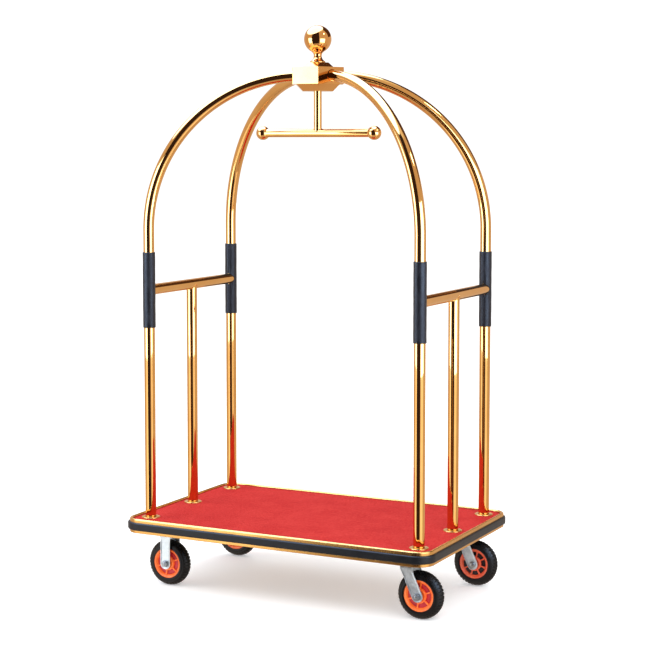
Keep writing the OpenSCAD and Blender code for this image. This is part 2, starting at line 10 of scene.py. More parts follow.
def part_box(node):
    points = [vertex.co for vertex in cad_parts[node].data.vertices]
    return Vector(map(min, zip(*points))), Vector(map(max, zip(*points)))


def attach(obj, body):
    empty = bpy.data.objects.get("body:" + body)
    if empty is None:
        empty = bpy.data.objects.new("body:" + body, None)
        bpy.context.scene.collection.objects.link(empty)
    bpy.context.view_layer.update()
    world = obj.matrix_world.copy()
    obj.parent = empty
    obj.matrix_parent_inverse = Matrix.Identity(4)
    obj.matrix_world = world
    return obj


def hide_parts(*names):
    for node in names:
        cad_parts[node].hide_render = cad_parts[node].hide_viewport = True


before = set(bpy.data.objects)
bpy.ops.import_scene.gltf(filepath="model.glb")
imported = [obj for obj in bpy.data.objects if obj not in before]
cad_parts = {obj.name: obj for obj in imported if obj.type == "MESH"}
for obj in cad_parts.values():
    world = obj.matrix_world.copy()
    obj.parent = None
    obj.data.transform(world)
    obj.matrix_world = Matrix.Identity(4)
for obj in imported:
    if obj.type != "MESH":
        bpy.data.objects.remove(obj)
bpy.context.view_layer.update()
random = np.random.default_rng(11)

CORNERS = {
    "front_left": (-1, -1),
    "front_right": (1, -1),
    "back_left": (-1, 1),
    "back_right": (1, 1),
}
SIDES = {"left": -1, "right": 1}


# ---- sizes, in metres, most of them from the frame


def lowest(node):
    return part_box(node)[0]


def highest(node):
    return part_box(node)[1]


def extent(node):
    return highest(node) - lowest(node)


def middle(node):
    return (lowest(node) + highest(node)) / 2


POST_X = middle("post_front_right").x
POST_Y = -middle("post_front_right").y
TUBE_R = extent("post_front_right").x / 2
BOARD_TOP = lowest("post_front_right").z
JOINT_Z = highest("post_front_right").z
DECK_TOP = highest("carpet").z
HANDLE_Z = middle("crossbar_left").z
TURN = atan2(POST_Y, POST_X)
HALF_DIAGONAL = hypot(POST_X, POST_Y)
CROWN_Z = highest("arch_front_right").z - TUBE_R
ARCH_END = (lowest("arch_front_right").x + TUBE_R * sin(TURN)) / cos(TURN)
ARCH_R = 0.500
ARC_Z = CROWN_Z - ARCH_R
LEVEL_X = HALF_DIAGONAL - ARCH_R
BEAD_R = 0.0055
TRIM_CORNER = 0.052
TRIM_T = 0.0025
WHEEL_R = extent("tyre_front_left").z / 2
TYRE_W = extent("tyre_front_left").y
RIM_R = extent("rim_front_left").z / 2
PLATE_T = 0.004
PLATE_Z = highest("swivel_plate_front_right").z - PLATE_T
COLLAR_RISE = 0.0117
CROWN_T = 0.004
SWIVEL_CROWN_Z = highest("swivel_fork_front_right").z - COLLAR_RISE
FRAME_Z = lowest("base_frame").z
CASTER_X = middle("swivel_plate_front_right").x
CASTER_Y = -middle("swivel_plate_front_right").y
TRAIL = middle("tyre_front_right").x - CASTER_X
FORK_T = 0.0035
LEG_OUT = 0.032
LEG_MID = LEG_OUT - FORK_T / 2
LEG_R = 0.018
FORK_TOP_W = 0.041


# ---- materials


class Look:
    """A material being made, with object coordinates for its textures."""

    def __init__(self, name, values=None):
        self.material = bpy.data.materials.new(name)
        self.material.use_nodes = True
        self.tree = self.material.node_tree
        self.shader = self.tree.nodes["Principled BSDF"]
        self.place = self.node("TexCoord").outputs["Object"]
        for socket, value in (values or {}).items():
            self.shader.inputs[socket].default_value = value

    def node(self, kind, links=None, values=None):
        """Adds a node, links some of its inputs and sets others."""
        node = self.tree.nodes.new("ShaderNode" + kind)
        for socket, value in (values or {}).items():
            node.inputs[socket].default_value = value
        for socket, output in (links or {}).items():
            self.tree.links.new(output, node.inputs[socket])
        return node

    def stretched(self, scale):
        return self.node("Mapping", {"Vector": self.place}, {"Scale": scale}).outputs["Vector"]

    def noise(self, scale, detail, roughness=0.5, stretch=None):
        vector = self.stretched(stretch) if stretch else self.place
        values = {"Scale": scale, "Detail": detail, "Roughness": roughness}
        return self.node("TexNoise", {"Vector": vector}, values).outputs["Fac"]

    def cells(self, scale, feature="F1", output="Distance"):
        node = self.node("TexVoronoi", {"Vector": self.place})
        node.feature = feature
        node.inputs["Scale"].default_value = scale
        return node.outputs[output]

    def total(self, first, second, share):
        """first + share * second"""
        node = self.node("Math")
        node.operation = "MULTIPLY_ADD"
        self.tree.links.new(second, node.inputs[0])
        node.inputs[1].default_value = share
        self.tree.links.new(first, node.inputs[2])
        return node.outputs["Value"]

    def color(self, value, *stops):
        node = self.node("ValToRGB", {"Fac": value})
        ramp = node.color_ramp
        while len(ramp.elements) < len(stops):
            ramp.elements.new(0.5)
        for element, (place, color) in zip(ramp.elements, stops):
            element.position = place
            element.color = (*color, 1)
        self.tree.links.new(node.outputs["Color"], self.shader.inputs["Base Color"])

    def roughness(self, value, low, high, start=0.3, end=0.7):
        """Roughness from low to high as the value goes from start to end."""
        values = {"From Min": start, "From Max": end, "To Min": low, "To Max": high}
        node = self.node("MapRange", {"Value": value}, values)
        self.tree.links.new(node.outputs["Result"], self.shader.inputs["Roughness"])

    def bump(self, height, strength, distance):
        node = self.node("Bump", {"Height": height}, {"Strength": strength, "Distance": distance})
        self.tree.links.new(node.outputs["Normal"], self.shader.inputs["Normal"])


def make_gold(name, light, dark, low, high):
    """Titanium gold plate: mirror polish with faint buffing marks and hand smudges."""
    look = Look(name, {"Metallic": 1.0})
    smudges = look.noise(9, 5, 0.6)
    buffing = look.noise(900, 2, stretch=(1, 1, 0.06))
    look.color(smudges, (0.35, light), (0.70, dark))
    look.roughness(look.total(smudges, buffing, 0.35), low, high, 0.45, 0.95)
    look.bump(look.total(buffing, look.noise(30, 2), 2.0), 0.02, 0.0004)
    return look.material


def make_carpet():
    """Short dense cut pile: fibre speckle over broad, soft shading of the nap."""
    look = Look("carpet_pile", {
        "Roughness": 0.95, "Specular IOR Level": 0.06, "Sheen Weight": 0.02,
        "Sheen Roughness": 0.5, "Sheen Tint": (1.0, 0.55, 0.50, 1)})
    fibres = look.noise(1100, 4, 0.7)
    tufts = look.cells(420)
    speckle = look.total(look.total(fibres, look.noise(9, 3), 0.22), tufts, -0.30)
    look.color(look.total(speckle, look.noise(240, 2, 0.6), 0.50), (0.46, (0.33, 0.001, 0.001)),
               (0.72, (0.52, 0.0195, 0.0165)), (0.96, (0.70, 0.069, 0.057)))
    look.bump(look.total(fibres, tufts, -0.8), 0.55, 0.0012)
    return look.material


def make_rubber(name, dark, light, low, high, grain, depth):
    """Moulded rubber: fine grain, with patches where handling has dulled it."""
    look = Look(name, {"Specular IOR Level": 0.32})
    fine = look.noise(grain, 3)
    mixed = look.total(look.noise(18, 5, 0.65), fine, 0.4)
    look.color(mixed, (0.45, dark), (0.95, light))
    look.roughness(mixed, low, high, 0.45, 0.95)
    look.bump(fine, depth, 0.0005)
    return look.material


def make_leather():
    """Dark blue-grey leatherette: pebbled grain, worn lighter on its high spots."""
    look = Look("grip_leather", {"Specular IOR Level": 0.40})
    grain = look.cells(850, "SMOOTH_F1")
    creases = look.noise(260, 4, 0.6, (1, 1, 0.35))
    wear = look.noise(22, 4, 0.6)
    look.color(look.total(wear, grain, -0.45), (0.05, (0.003, 0.0035, 0.007)),
               (0.40, (0.007, 0.008, 0.014)), (0.75, (0.017, 0.019, 0.031)))
    look.roughness(wear, 0.31, 0.52)
    look.bump(look.total(grain, creases, 0.6), 0.5, 0.0004)
    return look.material


def make_plastic(name, dark, light, low=0.26, high=0.42):
    """Moulded plastic: slight flow marks and orange peel."""
    look = Look(name)
    flow = look.noise(26, 4, 0.6)
    peel = look.noise(700, 2)
    look.color(flow, (0.35, dark), (0.68, light))
    look.roughness(look.total(flow, peel, 0.2), low, high)
    look.bump(peel, 0.12, 0.0003)
    return look.material


def make_zinc(name, dark, light, low=0.28, high=0.45):
    """Zinc plated sheet: soft spangle, rolling lines and dull patches."""
    look = Look(name, {"Metallic": 0.85})
    grey = look.node("RGBToBW", {"Color": look.cells(160, "F1", "Color")})
    patches = look.noise(35, 4, 0.6)
    mixed = look.total(patches, grey.outputs["Val"], 0.3)
    look.color(mixed, (0.40, dark), (0.90, light))
    look.roughness(mixed, low, high, 0.4, 0.9)
    look.bump(look.total(look.noise(1200, 2, stretch=(1, 1, 0.05)), patches, 1.0), 0.08, 0.0004)
    return look.material


def make_plywood():
    look = Look("deck_plywood")
    grain = look.noise(4, 6, 0.65, (2.5, 60, 60))
    pores = look.noise(3, 2, stretch=(30, 500, 500))
    look.color(look.total(grain, pores, 0.25), (0.40, (0.20, 0.11, 0.05)),
               (0.62, (0.45, 0.29, 0.15)), (0.85, (0.62, 0.44, 0.26)))
    look.roughness(grain, 0.55, 0.75)
    look.bump(look.total(grain, pores, 0.6), 0.25, 0.0006)
    return look.material


def make_powder_coat():
    look = Look("frame_powder_coat")
    dust = look.noise(12, 5, 0.65)
    look.color(dust, (0.40, (0.012, 0.012, 0.013)), (0.75, (0.035, 0.034, 0.033)))
    look.roughness(dust, 0.36, 0.60)
    look.bump(look.noise(420, 2), 0.25, 0.0005)
    return look.material


gold = make_gold("gold_tube", (0.79, 0.45, 0.150), (0.73, 0.39, 0.120), 0.035, 0.085)
gold_crown = make_gold("gold_crown", (0.80, 0.42, 0.135), (0.74, 0.36, 0.105), 0.03, 0.07)
gold_trim = make_gold("gold_trim", (0.74, 0.42, 0.130), (0.66, 0.35, 0.100), 0.20, 0.32)
carpet_pile = make_carpet()
bumper_rubber = make_rubber(
    "bumper_rubber", (0.0035, 0.004, 0.0055), (0.009, 0.010, 0.013), 0.30, 0.44, 600, 0.10)
tyre_rubber = make_rubber(
    "tyre_rubber", (0.0016, 0.0016, 0.0020), (0.0045, 0.0045, 0.0055), 0.24, 0.46, 800, 0.30)
leather = make_leather()
orange = make_plastic("rim_orange", (0.93, 0.140, 0.018), (1.0, 0.215, 0.035))
crimson = make_plastic("rim_crimson", (0.42, 0.012, 0.020), (0.56, 0.024, 0.034))
vermilion = make_plastic("rim_vermilion", (0.80, 0.105, 0.045), (0.92, 0.155, 0.068))
black_plastic = make_plastic("black_plastic", (0.008, 0.008, 0.009), (0.016, 0.016, 0.017), 0.4, 0.6)
zinc = make_zinc("zinc_plate", (0.58, 0.65, 0.69), (0.78, 0.85, 0.89))
bolt_steel = make_zinc("bolt_steel", (0.30, 0.32, 0.34), (0.46, 0.48, 0.50), 0.28, 0.42)
# Zinc darkened with painted shade: the caster plates and races sit in the shade under the deck.
shade_darkened_zinc = make_zinc("zinc_painted_shade", (0.13, 0.14, 0.15), (0.22, 0.23, 0.24), 0.40, 0.55)
plywood = make_plywood()
powder_coat = make_powder_coat()


# ---- mesh building


def at(x, y, z=0):
    return Matrix.Translation((x, y, z))


def turned(angle, axis):
    return Matrix.Rotation(radians(angle), 4, axis)


def turns(count):
    """Angles evenly round a circle."""
    return [2 * pi * i / count for i in range(count)]


def smooth(mesh, crease):
    mesh.polygons.foreach_set("use_smooth", np.ones(len(mesh.polygons), bool))
    mesh.set_sharp_from_angle(angle=radians(crease))


def to_mesh(name, bm, material=None):
    mesh = bpy.data.meshes.new(name)
    bm.to_mesh(mesh)
    bm.free()
    if material:
        mesh.materials.append(material)
    return mesh


def show(name, data):
    obj = bpy.data.objects.new(name, data)
    bpy.context.scene.collection.objects.link(obj)
    return obj


def piece(name, bm, material, body, node=None, crease=38, matrix=None):
    """Turns a bmesh into a named piece that rides on a body and may stand for a CAD node."""
    bmesh.ops.recalc_face_normals(bm, faces=bm.faces)
    mesh = to_mesh(name, bm, material)
    if matrix is not None:
        mesh.transform(matrix)
    smooth(mesh, crease)
    obj = show(name, mesh)
    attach(obj, body)
    if node:
        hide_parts(node)
    return obj


def loft(bm, rings, around=True, along=False, caps=True):
    """Joins rows of points into a skin: around closes each row, along joins last to first."""
    rows = [[bm.verts.new(p) for p in ring] for ring in rings]
    count = len(rows[0])
    last = len(rows) if along else len(rows) - 1
    for i in range(last):
        a = rows[i]
        b = rows[(i + 1) % len(rows)]
        for j in range(count if around else count - 1):
            k = (j + 1) % count
            bm.faces.new((a[j], a[k], b[k], b[j]))
    if caps and around and not along:
        bm.faces.new(rows[0])
        bm.faces.new(rows[-1])


def lathe(bm, profile, steps, closed=False):
    """Spins a profile of (radius, z) round Z. A closed profile makes a ring."""
    rings = [[(r * cos(t), r * sin(t), z) for t in turns(steps)] for r, z in profile]
    loft(bm, rings, along=closed)


def spun(profile, steps=96, closed=False):
    bm = bmesh.new()
    lathe(bm, profile, steps, closed)
    return bm


def arc(cx, cz, r, start, end, steps):
    """Points on an arc, with angles in degrees."""
    angles = [radians(start + (end - start) * i / steps) for i in range(steps + 1)]
    return [(cx + r * cos(a), cz + r * sin(a)) for a in angles]


def mirrored(profile):
    """A closed profile from its upper half."""
    return profile + [(r, -z) for r, z in reversed(profile)]


def ball(r, steps, pole):
    """Profile of a ball, from and to a small angle off its poles."""
    angles = np.linspace(pole, pi - pole, steps + 1)
    return [(max(r * sin(a), 1e-5), -r * cos(a)) for a in angles]


def prism(bm, outline, z0, z1, top_scale=1.0):
    """Extrudes an outline of (x, y) points from z0 to z1."""
    top = [(x * top_scale, y * top_scale, z1) for x, y in outline]
    loft(bm, [[(x, y, z0) for x, y in outline], top])


def round_edges(bm, width, segments, angle=30):
    sharp = [e for e in bm.edges
             if len(e.link_faces) == 2 and e.calc_face_angle(0) > radians(angle)]
    bmesh.ops.bevel(bm, geom=sharp, offset=width, segments=segments, profile=0.5,
                    affect="EDGES", clamp_overlap=True)


def rectangle_corners(x, y, r):
    """Centres of the corner arcs of a rounded rectangle, each with its start angle."""
    return [(Vector((sx * (x / 2 - r), sy * (y / 2 - r))), start)
            for sx, sy, start in ((1, 1, 0), (-1, 1, 90), (-1, -1, 180), (1, -1, 270))]


def rounded_outline(x, y, r, steps=10):
    points = []
    for centre, start in rectangle_corners(x, y, r):
        points += arc(centre.x, centre.y, r, start, start + 90, steps)
    return points


def edge_sweep(bm, size, r, profile, corner_steps=24, side_steps=12):
    """Sweeps a closed profile of (outward, z) points round a rounded rectangle."""
    stations = []
    corners = rectangle_corners(size.x, size.y, r)
    for index, (centre, start) in enumerate(corners):
        for i in range(corner_steps + 1):
            a = radians(start + 90 * i / corner_steps)
            out = Vector((cos(a), sin(a)))
            stations.append((centre + out * r, out))
        first = centre + out * r
        last = corners[(index + 1) % 4][0] + out * r
        for i in range(1, side_steps):
            stations.append((first.lerp(last, i / side_steps), out))
    rings = [[(p.x + o.x * u, p.y + o.y * u, z) for u, z in profile] for p, o in stations]
    loft(bm, rings, along=True)


def hexagon(bm, r, z0, z1):
    """Hex head or nut: both faces are turned down to a cone at the corners."""
    chamfer = 0.0008
    fall = chamfer * 0.6
    rings = []
    for z, inset in ((z0, chamfer), (z0 + fall, 0), (z1 - fall, 0), (z1, chamfer)):
        ring = []
        for t in turns(48):
            flat = r * cos(pi / 6) / cos((t % (pi / 3)) - pi / 6)
            reach = min(flat, r - inset * 1.6) if inset else flat
            ring.append((reach * cos(t), reach * sin(t), z))
        rings.append(ring)
    loft(bm, rings)


def apply_modifiers(obj, crease):
    bpy.context.view_layer.update()
    shown = obj.evaluated_get(bpy.context.evaluated_depsgraph_get())
    mesh = bpy.data.meshes.new_from_object(shown)
    obj.modifiers.clear()
    old = obj.data
    obj.data = mesh
    bpy.data.meshes.remove(old)
    smooth(mesh, crease)


# ---- tubes


def make_posts():
    posts = [(f"lower_post_{name}", f"post_{name}", sx, sy, JOINT_Z)
             for name, (sx, sy) in CORNERS.items()]
    posts += [(f"middle_post_{name}", f"post_mid_{name}", sx, 0, HANDLE_Z - TUBE_R * 0.2)
              for name, sx in SIDES.items()]
    edge = 0.0006
    for name, node, sx, sy, top in posts:
        profile = [(TUBE_R - edge, BOARD_TOP)]
        profile += arc(TUBE_R - edge, BOARD_TOP + edge, edge, -90, 0, 3)[1:]
        profile += arc(TUBE_R - edge, top - edge, edge, 0, 90, 3)
        piece(name, spun(profile), gold, "cart", node,
              matrix=at(sx * POST_X, sy * POST_Y))


def weld(name, steps, r, bead_r, height, way, matrix=None):
    """Thin weld bead round an upright tube of radius r, at the height for each angle."""
    rings = []
    for t in turns(steps):
        out = Vector((cos(t), sin(t), 0))
        centre = out * r + Vector((0, 0, height(t)))
        rings.append([centre + bead_r * (out * cos(a) + Vector((0, 0, way)) * sin(a))
                      for a in turns(8)])
    bm = bmesh.new()
    loft(bm, rings, along=True)
    piece(name, bm, gold, "cart", matrix=matrix)


def make_crossbars():
    for name, sx in SIDES.items():
        piece(f"handle_bar_{name}", spun([(TUBE_R, -POST_Y), (TUBE_R, POST_Y)]), gold, "cart",
              f"crossbar_{name}",
              matrix=at(sx * POST_X, 0, HANDLE_Z) @ turned(90, "X"))
        weld(f"handle_weld_{name}", 96, TUBE_R, 0.0012,
             lambda t: HANDLE_Z - TUBE_R * abs(sin(t)), -1, at(sx * POST_X, 0))


def arch_stations():
    """Centres and outward directions along one arch, in its own XZ plane."""
    steps = 72
    stations = [((HALF_DIAGONAL, z), (1, 0)) for z in np.linspace(JOINT_Z, ARC_Z, 4)[:-1]]
    for i in range(steps + 1):
        a = radians(90 * i / steps)
        centre = (LEVEL_X + ARCH_R * cos(a), ARC_Z + ARCH_R * sin(a))
        stations.append((centre, (cos(a), sin(a))))
    stations.append(((ARCH_END, CROWN_Z), (0, 1)))
    return stations


def make_arches():
    for name, (sx, sy) in CORNERS.items():
        bm = bmesh.new()
        rings = []
        for (x, z), (ox, oz) in arch_stations():
            rings.append([(x + TUBE_R * cos(t) * ox, TUBE_R * sin(t), z + TUBE_R * cos(t) * oz)
                          for t in turns(96)])
        loft(bm, rings)
        place = Matrix.Rotation(atan2(sy * POST_Y, sx * POST_X), 4, "Z")
        piece(f"arch_tube_{name}", bm, gold, "cart", f"arch_{name}", matrix=place)


def make_flanges():
    """Low domed collars at the posts' feet, all six for the one CAD node."""
    outer = highest("post_flanges").y - POST_Y
    top = highest("post_flanges").z
    height = top - DECK_TOP
    shoulder_z = DECK_TOP + height * 0.25
    profile = [(TUBE_R + 0.0001, BOARD_TOP), (outer, BOARD_TOP), (outer, shoulder_z)]
    profile += arc(outer - height * 0.55, shoulder_z, height * 0.55, 10, 80, 6)
    profile += [(outer * 0.78, top - height * 0.06), (TUBE_R + 0.0012, top),
                (TUBE_R + 0.0003, top - 0.0006)]
    for index, (sx, sy) in enumerate(list(CORNERS.values()) + [(-1, 0), (1, 0)]):
        piece(f"base_flange_{index + 1}", spun(profile, closed=True), gold_trim, "cart",
              "post_flanges" if index == 0 else None, 50,
              at(sx * POST_X, sy * POST_Y))


# ---- grips


def grip_columns(radius, cut_r, count=96):
    """Angles round a grip, closer together beside the hole, and the hole's half height there."""
    limit = asin(min(1.0, cut_r / radius))
    inside = [limit * sin(radians(a)) for a in np.linspace(-90, 90, 41)]
    outside = list(np.linspace(limit, 2 * pi - limit, count - 39))[1:-1]
    heights = [sqrt(max(cut_r ** 2 - (radius * sin(a)) ** 2, 0)) if abs(a) < limit else 0
               for a in inside]
    return inside + outside, heights + [0] * len(outside)


def make_grip(name, sx, sy):
    """Rippled sleeve with rolled ends, in two halves that meet round the crossbar's hole."""
    size = extent(f"grip_{name}")
    length = size.z
    radius = size.x / 2
    cut_r = TUBE_R + 0.0008
    rolled = 0.0016
    count = 44
    angles, holes = grip_columns(radius, cut_r)
    bm = bmesh.new()
    for side in (-1, 1):
        rows = []
        ripple = random.uniform(0, 2 * pi, 4)
        for k in range(count):
            u = (1 - cos(pi * k / (count - 1))) / 2
            row = []
            for a, hole in zip(angles, holes):
                z = side * (hole + (length / 2 - hole) * u)
                short = max(rolled - (length / 2 - abs(z)), 0)
                hug = rolled - sqrt(max(rolled ** 2 - short ** 2, 0))
                near = exp(-((abs(z) - cut_r) / 0.012) ** 2) * max(cos(a), 0)
                wave = 0.00022 * sin(3 * a + ripple[0] + 40 * z) * sin(90 * z + ripple[1])
                r = radius - hug + wave + 0.0006 * near * sin(9 * a + ripple[2])
                row.append((r * cos(a), r * sin(a), z))
            rows.append(row)
        loft(bm, rows, caps=False)
    bmesh.ops.remove_doubles(bm, verts=bm.verts, dist=1e-5)
    place = at(sx * POST_X, sy * POST_Y, HANDLE_Z) @ turned(-90 * sy, "Z")
    obj = piece(f"grip_sleeve_{name}", bm, leather, "cart", f"grip_{name}", 60, place)
    shell = obj.modifiers.new("shell", "SOLIDIFY")
    shell.thickness = radius - TUBE_R - 0.0002
    shell.offset = -1
    make_seam(name, length, radius, cut_r, place)


def make_seam(name, length, radius, cut_r, place):
    """Folded seam down the side of a grip, with a row of stitches on each cheek."""
    half = 0.0026
    proud = 0.0030
    fold = 0.001
    foot = radius - 0.0012
    stitch_step = 0.0055
    stitch_r = 0.00045
    stitch_shape = ((-0.0019, 0.3), (-0.0012, 0.8), (0, 1.0), (0.0012, 0.8), (0.0019, 0.3))
    profile = [(-half, 0), (-half, proud - fold)]
    profile += arc(-half + fold, proud - fold, fold, 150, 90, 2)
    profile += arc(half - fold, proud - fold, fold, 90, 30, 2)
    profile += [(half, proud - fold), (half, 0)]
    start = cut_r + 0.003
    end = length / 2 - 0.0015
    bm = bmesh.new()
    stitches = bmesh.new()
    for side in (-1, 1):
        rings = []
        for u in np.linspace(0, 1, 40):
            z = side * (start + (end - start) * u)
            taper = min(1.0, min(u, 1 - u) * 18 + 0.25)
            sway = 0.00025 * sin(70 * z)
            rings.append([(foot + p * taper, q + sway, z) for q, p in profile])
        loft(bm, rings)
        count = int((end - start) / stitch_step)
        for k in range(count):
            z = side * (start + (end - start) * (k + 0.5) / count)
            for cheek in (-1, 1):
                x = foot + proud * 0.55
                y = cheek * half
                rings = [[(x + stitch_r * thick * cos(a), y + stitch_r * thick * sin(a), z + w)
                          for a in turns(6)] for w, thick in stitch_shape]
                loft(stitches, rings)
    piece(f"grip_seam_{name}", bm, leather, "cart", matrix=place)
    piece(f"grip_stitches_{name}", stitches, black_plastic, "cart", matrix=place)


# ---- deck


def make_trim():
    """Gold sheet with a bead along its top, a turned in foot and a groove for the bumper."""
    top = highest("edge_trim").z
    foot = lowest("edge_trim").z
    groove_z = middle("bumper").z
    groove_half = 0.006
    groove_depth = 0.001
    turn_in = 0.010
    corner = 0.0012
    profile = arc(-BEAD_R, top - BEAD_R, BEAD_R, 0, 180, 16)
    profile += arc(-BEAD_R, top - BEAD_R, BEAD_R, 180, 270, 6)[1:]
    profile += [(-TRIM_T, top - BEAD_R * 2), (-TRIM_T, foot + TRIM_T), (-turn_in, foot + TRIM_T),
                (-turn_in, foot), (-corner, foot)]
    profile += arc(-corner, foot + corner, corner, -90, 0, 4)[1:]
    profile += [(0, groove_z - groove_half), (-groove_depth, groove_z - groove_half),
                (-groove_depth, groove_z + groove_half), (0, groove_z + groove_half)]
    bm = bmesh.new()
    edge_sweep(bm, extent("edge_trim"), TRIM_CORNER, profile)
    piece("gold_edge_trim", bm, gold_trim, "cart", "edge_trim", 40)


def make_bumper():
    """Rubber strip with round shoulders, a slightly crowned face and a key in the groove."""
    size = extent("edge_trim")
    proud = (extent("bumper").x - size.x) / 2
    half = extent("bumper").z / 2
    mid = middle("bumper").z
    shoulder = 0.0052
    key_half = 0.0059
    key_depth = 0.0009
    back = 0.0002
    crown = 0.0004
    profile = [(-key_depth, mid - key_half), (back, mid - key_half), (back, mid - half)]
    profile += arc(proud - shoulder, mid - half + shoulder, shoulder, -90, -8, 8)
    profile += [(proud - crown * u * u, mid + u * (half - shoulder))
                for u in np.linspace(-0.85, 0.85, 9)]
    profile += arc(proud - shoulder, mid + half - shoulder, shoulder, 8, 90, 8)
    profile += [(back, mid + half), (back, mid + key_half), (-key_depth, mid + key_half)]
    bm = bmesh.new()
    edge_sweep(bm, size, TRIM_CORNER, profile)
    piece("rubber_bumper", bm, bumper_rubber, "cart", "bumper", 50)


def make_carpet_piece():
    """Carpet as one uneven sheet, rolled down at its edge, on a skirt as deep as the pile."""
    low = lowest("carpet")
    high = highest("carpet")
    size = high - low
    r = TRIM_CORNER - (highest("edge_trim").x - high.x)
    step = 0.004
    patch = 12
    nx = int(size.x / step)
    ny = int(size.y / step)
    heights = random.normal(0, 1, (nx + 1, ny + 1))
    broad = random.normal(0, 1, (nx // patch + 3, ny // patch + 3))
    half_x = size.x / 2
    half_y = size.y / 2
    bm = bmesh.new()
    grid = []
    for i in range(nx + 1):
        column = []
        for j in range(ny + 1):
            x = -half_x + size.x * i / nx
            y = -half_y + size.y * j / ny
            qx = abs(x) - (half_x - r)
            qy = abs(y) - (half_y - r)
            if qx > 0 and qy > 0:
                # squares in the corner are drawn in to the round corner
                far = max(qx, qy) / hypot(qx, qy)
                x = copysign(half_x - r + qx * far, x)
                y = copysign(half_y - r + qy * far, y)
                edge = r - max(qx, qy)
            else:
                edge = min(half_x - abs(x), half_y - abs(y))
            a, u = divmod(i / patch, 1)
            b, v = divmod(j / patch, 1)
            a = int(a)
            b = int(b)
            slow = (broad[a, b] * (1 - u) * (1 - v) + broad[a + 1, b] * u * (1 - v)
                    + broad[a, b + 1] * (1 - u) * v + broad[a + 1, b + 1] * u * v)
            roll = 0.0022 * max(0.0, 1 - edge / 0.006) ** 2
            z = high.z - 0.0003 + 0.00010 * heights[i, j] + 0.00008 * slow - roll
            column.append(bm.verts.new((x, y, min(z, high.z + 0.0004))))
        grid.append(column)
    for i in range(nx):
        for j in range(ny):
            bm.faces.new((grid[i][j], grid[i + 1][j], grid[i + 1][j + 1], grid[i][j + 1]))
    rim = [e for e in bm.edges if e.is_boundary]
    skirt = bmesh.ops.extrude_edge_only(bm, edges=rim)
    for v in skirt["geom"]:
        if isinstance(v, bmesh.types.BMVert):
            v.co.z = low.z
    bmesh.ops.contextual_create(bm, geom=[e for e in bm.edges if e.is_boundary])
    obj = piece("deck_carpet", bm, carpet_pile, "cart", "carpet", 70)


# ---- crown, finial and hanger


def crown_outline(scale):
    """Six sided outline: arch faces at the four corners, flat at the front and back."""
    face = 0.083
    side = 0.088
    tip = face / cos(TURN)
    shoulder = (face - side * sin(TURN)) / cos(TURN)
    points = [(tip, 0), (shoulder, side), (-shoulder, side),
              (-tip, 0), (-shoulder, -side), (shoulder, -side)]
    return [(x * scale, y * scale) for x, y in points]


def crown_part(name, node, bottom, taper, flip, edge):
    """A slice of the crown whose narrower end is taper times as wide as its CAD node."""
    scale = highest(node).x / crown_outline(1)[0][0]
    bm = bmesh.new()
    if flip:
        prism(bm, crown_outline(scale * taper), bottom, highest(node).z, 1 / taper)
    else:
        prism(bm, crown_outline(scale), bottom, highest(node).z, taper)
    round_edges(bm, edge, 3)
    return piece(name, bm, gold_crown, "cart", node, 30)


def make_crown():
    block = crown_part("crown_casting", "crown_block", lowest("crown_block").z, 1, False, 0.0014)
    fit_r = TUBE_R + 0.0004
    mouth_r = TUBE_R + 0.0022
    cutters = []
    for sx, sy in CORNERS.values():
        mesh = to_mesh("cutter", spun(
            [(fit_r, 0.060), (fit_r, 0.0815), (mouth_r, 0.0835), (mouth_r, 0.100)]))
        direction = Matrix.Rotation(atan2(sy * POST_Y, sx * POST_X), 4, "Z")
        mesh.transform(at(0, 0, CROWN_Z - 0.0004) @ direction @ turned(90, "Y"))
        cutter = show("cutter", mesh)
        cut = block.modifiers.new("socket", "BOOLEAN")
        cut.object = cutter
        cut.solver = "EXACT"
        cutters.append(cutter)
    apply_modifiers(block, 30)
    for cutter in cutters:
        bpy.data.objects.remove(cutter)
    crown_part("crown_cap_casting", "crown_cap", lowest("crown_cap").z, 0.667, False, 0.0010)
    crown_part("crown_hip_casting", "crown_hip", highest("hanger_stem").z, 0.691, True, 0.0012)


def make_finial():
    ball_r = extent("finial_ball").x / 2
    ball_z = highest("finial_ball").z - ball_r
    piece("finial_globe", spun(ball(ball_r, 96, 0.003), 160), gold_crown, "cart",
          "finial_ball", 80, at(0, 0, ball_z))
    foot = lowest("finial_neck").z
    foot_r = extent("finial_neck").x / 2
    edge = 0.0012
    waist_r = 0.013
    waist_z = foot + 0.022
    top_r = 0.018
    top_z = ball_z - sqrt(ball_r ** 2 - top_r ** 2)
    hollow = ((top_r - waist_r) ** 2 + (top_z - waist_z) ** 2) / (2 * (top_r - waist_r))
    foot_z = waist_z - sqrt(hollow ** 2 - (waist_r + hollow - foot_r) ** 2)
    start = degrees(atan2(foot_z - waist_z, foot_r - waist_r - hollow)) % 360
    end = degrees(atan2(top_z - waist_z, top_r - waist_r - hollow)) % 360
    profile = [(0.004, foot), (foot_r - edge, foot)]
    profile += arc(foot_r - edge, foot + edge, edge, -90, 0, 4)[1:]
    profile += [(foot_r, foot_z - 0.001)] + arc(foot_r - 0.001, foot_z - 0.001, 0.001, 0, 70, 3)[1:]
    profile += arc(waist_r + hollow, waist_z, hollow, start - 3, end + 3, 40)
    profile += arc(top_r, top_z - 0.0004, 0.0012, -60, 60, 6) + [(0.004, top_z)]
    piece("finial_stem", spun(profile), gold_crown, "cart", "finial_neck", 50)


